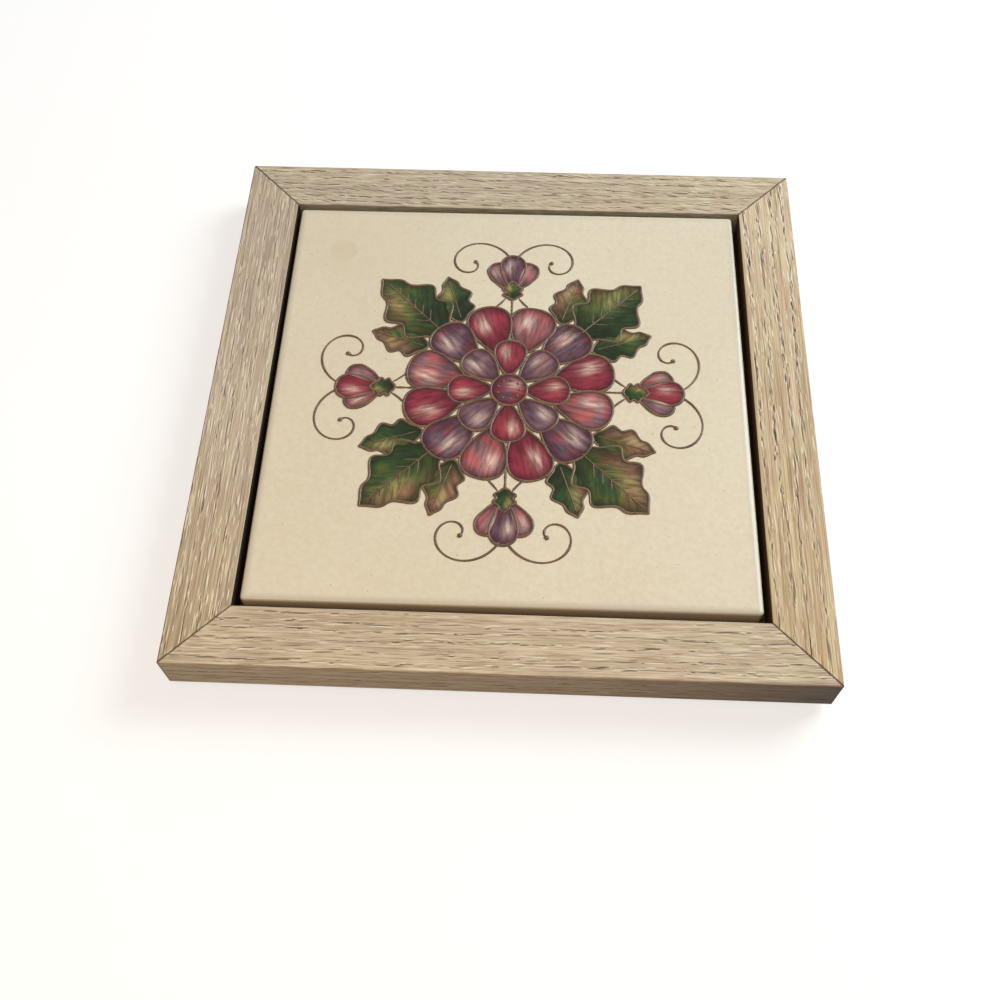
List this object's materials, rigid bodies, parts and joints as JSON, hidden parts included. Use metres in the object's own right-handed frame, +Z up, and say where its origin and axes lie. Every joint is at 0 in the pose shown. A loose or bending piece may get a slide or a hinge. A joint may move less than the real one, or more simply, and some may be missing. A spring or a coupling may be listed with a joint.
{
  "type": "framed tile",
  "caption": "Square glazed ceramic tile bonded into a shallow mitred oak frame with an open slit around it, standing on cork feet as a table stand for hot dishes, with a hanger for a wall.",
  "frame": {"origin": "on the table, under the middle of the frame", "axes": "+X to the right and +Y to the back as in the picture, +Z up out of the tile's glazed face; the hanger is under the back rail"},
  "size_m": [0.189, 0.189, 0.017],
  "materials": {
    "limed_oak": "limed open-grain oak, matt wax",
    "cream_glaze": "satin cream glaze with coloured glaze decoration",
    "hardboard": "dark tempered hardboard",
    "adhesive": "cured adhesive",
    "zinc_steel": "zinc plated",
    "cork": "agglomerated cork"
  },
  "bodies": {
    "root": {"rail_front": "limed_oak", "rail_right": "limed_oak", "rail_back": "limed_oak", "rail_left": "limed_oak", "tile": "cream_glaze", "backing_board": "hardboard", "adhesive_dab_centre": "adhesive", "adhesive_dab_front_left": "adhesive", "adhesive_dab_front_right": "adhesive", "adhesive_dab_back_right": "adhesive", "adhesive_dab_back_left": "adhesive", "brad_front_1": "zinc_steel", "brad_front_2": "zinc_steel", "brad_right_1": "zinc_steel", "brad_right_2": "zinc_steel", "brad_back_1": "zinc_steel", "brad_back_2": "zinc_steel", "brad_left_1": "zinc_steel", "brad_left_2": "zinc_steel", "v_nail_front_left_1": "zinc_steel", "v_nail_front_left_2": "zinc_steel", "v_nail_front_right_1": "zinc_steel", "v_nail_front_right_2": "zinc_steel", "v_nail_back_right_1": "zinc_steel", "v_nail_back_right_2": "zinc_steel", "v_nail_back_left_1": "zinc_steel", "v_nail_back_left_2": "zinc_steel", "sawtooth_hanger": "zinc_steel", "hanger_nail_left": "zinc_steel", "hanger_nail_right": "zinc_steel", "foot_front_left": "cork", "foot_front_right": "cork", "foot_back_right": "cork", "foot_back_left": "cork"}
  },
  "joints": []
}
